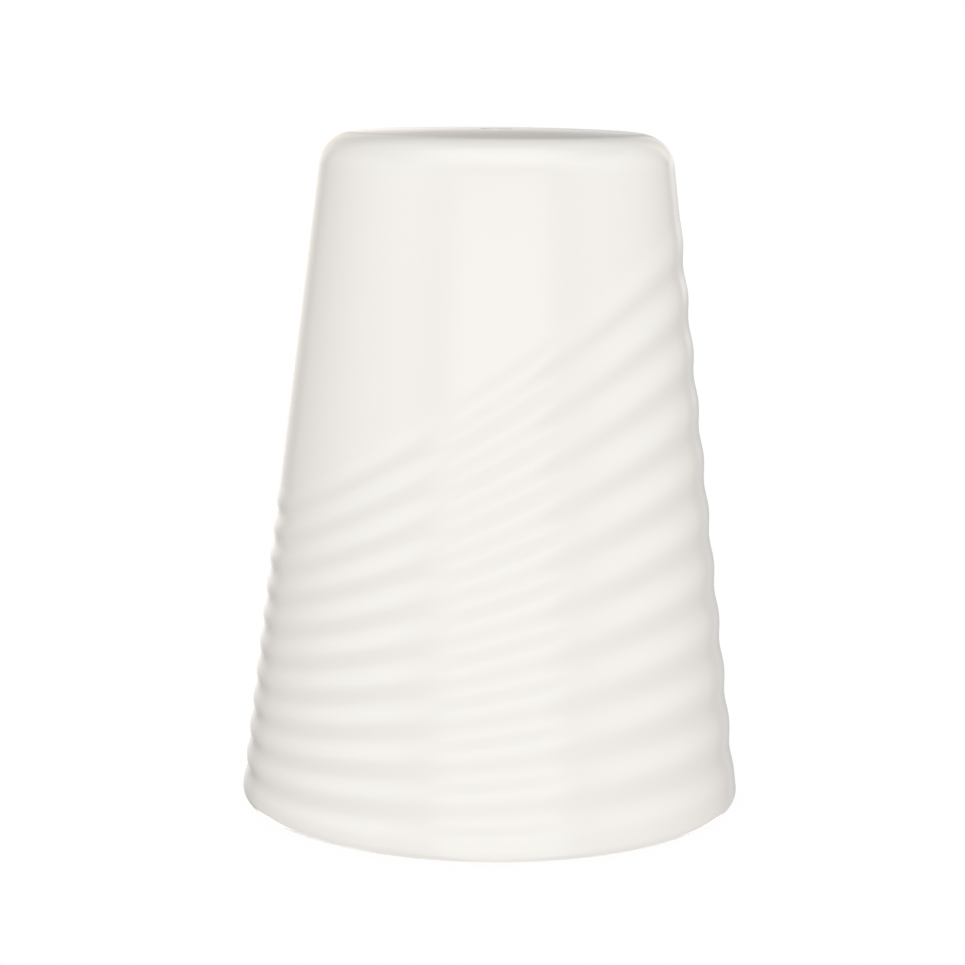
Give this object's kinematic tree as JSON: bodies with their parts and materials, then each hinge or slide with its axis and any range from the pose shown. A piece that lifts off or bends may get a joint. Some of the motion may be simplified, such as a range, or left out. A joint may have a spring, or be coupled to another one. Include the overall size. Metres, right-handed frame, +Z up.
{
  "type": "salt shaker",
  "caption": "Tapered round porcelain salt shaker with a fan of moulded ripples on its side, a pour hole in its top and a push-in stopper under its recessed base.",
  "frame": {"origin": "centre of the foot ring, on the plane that it rests on", "axes": "+Z up along the body's axis, +X towards the side where the fan of ripples climbs highest, -Y towards the picture's camera"},
  "size_m": [0.056, 0.056, 0.075],
  "materials": {
    "glazed_porcelain": "glossy cream-white glaze, bare porcelain on the foot ring's rest face",
    "stopper_silicone": "milky matt silicone"
  },
  "bodies": {
    "shaker": {"porcelain_body": "glazed_porcelain"},
    "stopper": {"base_stopper": "stopper_silicone"}
  },
  "joints": [
    {"name": "stopper_pull", "type": "slide", "parent": "shaker", "child": "stopper", "axis": [0, 0, -1], "range_m": [0, 0.02]}
  ]
}
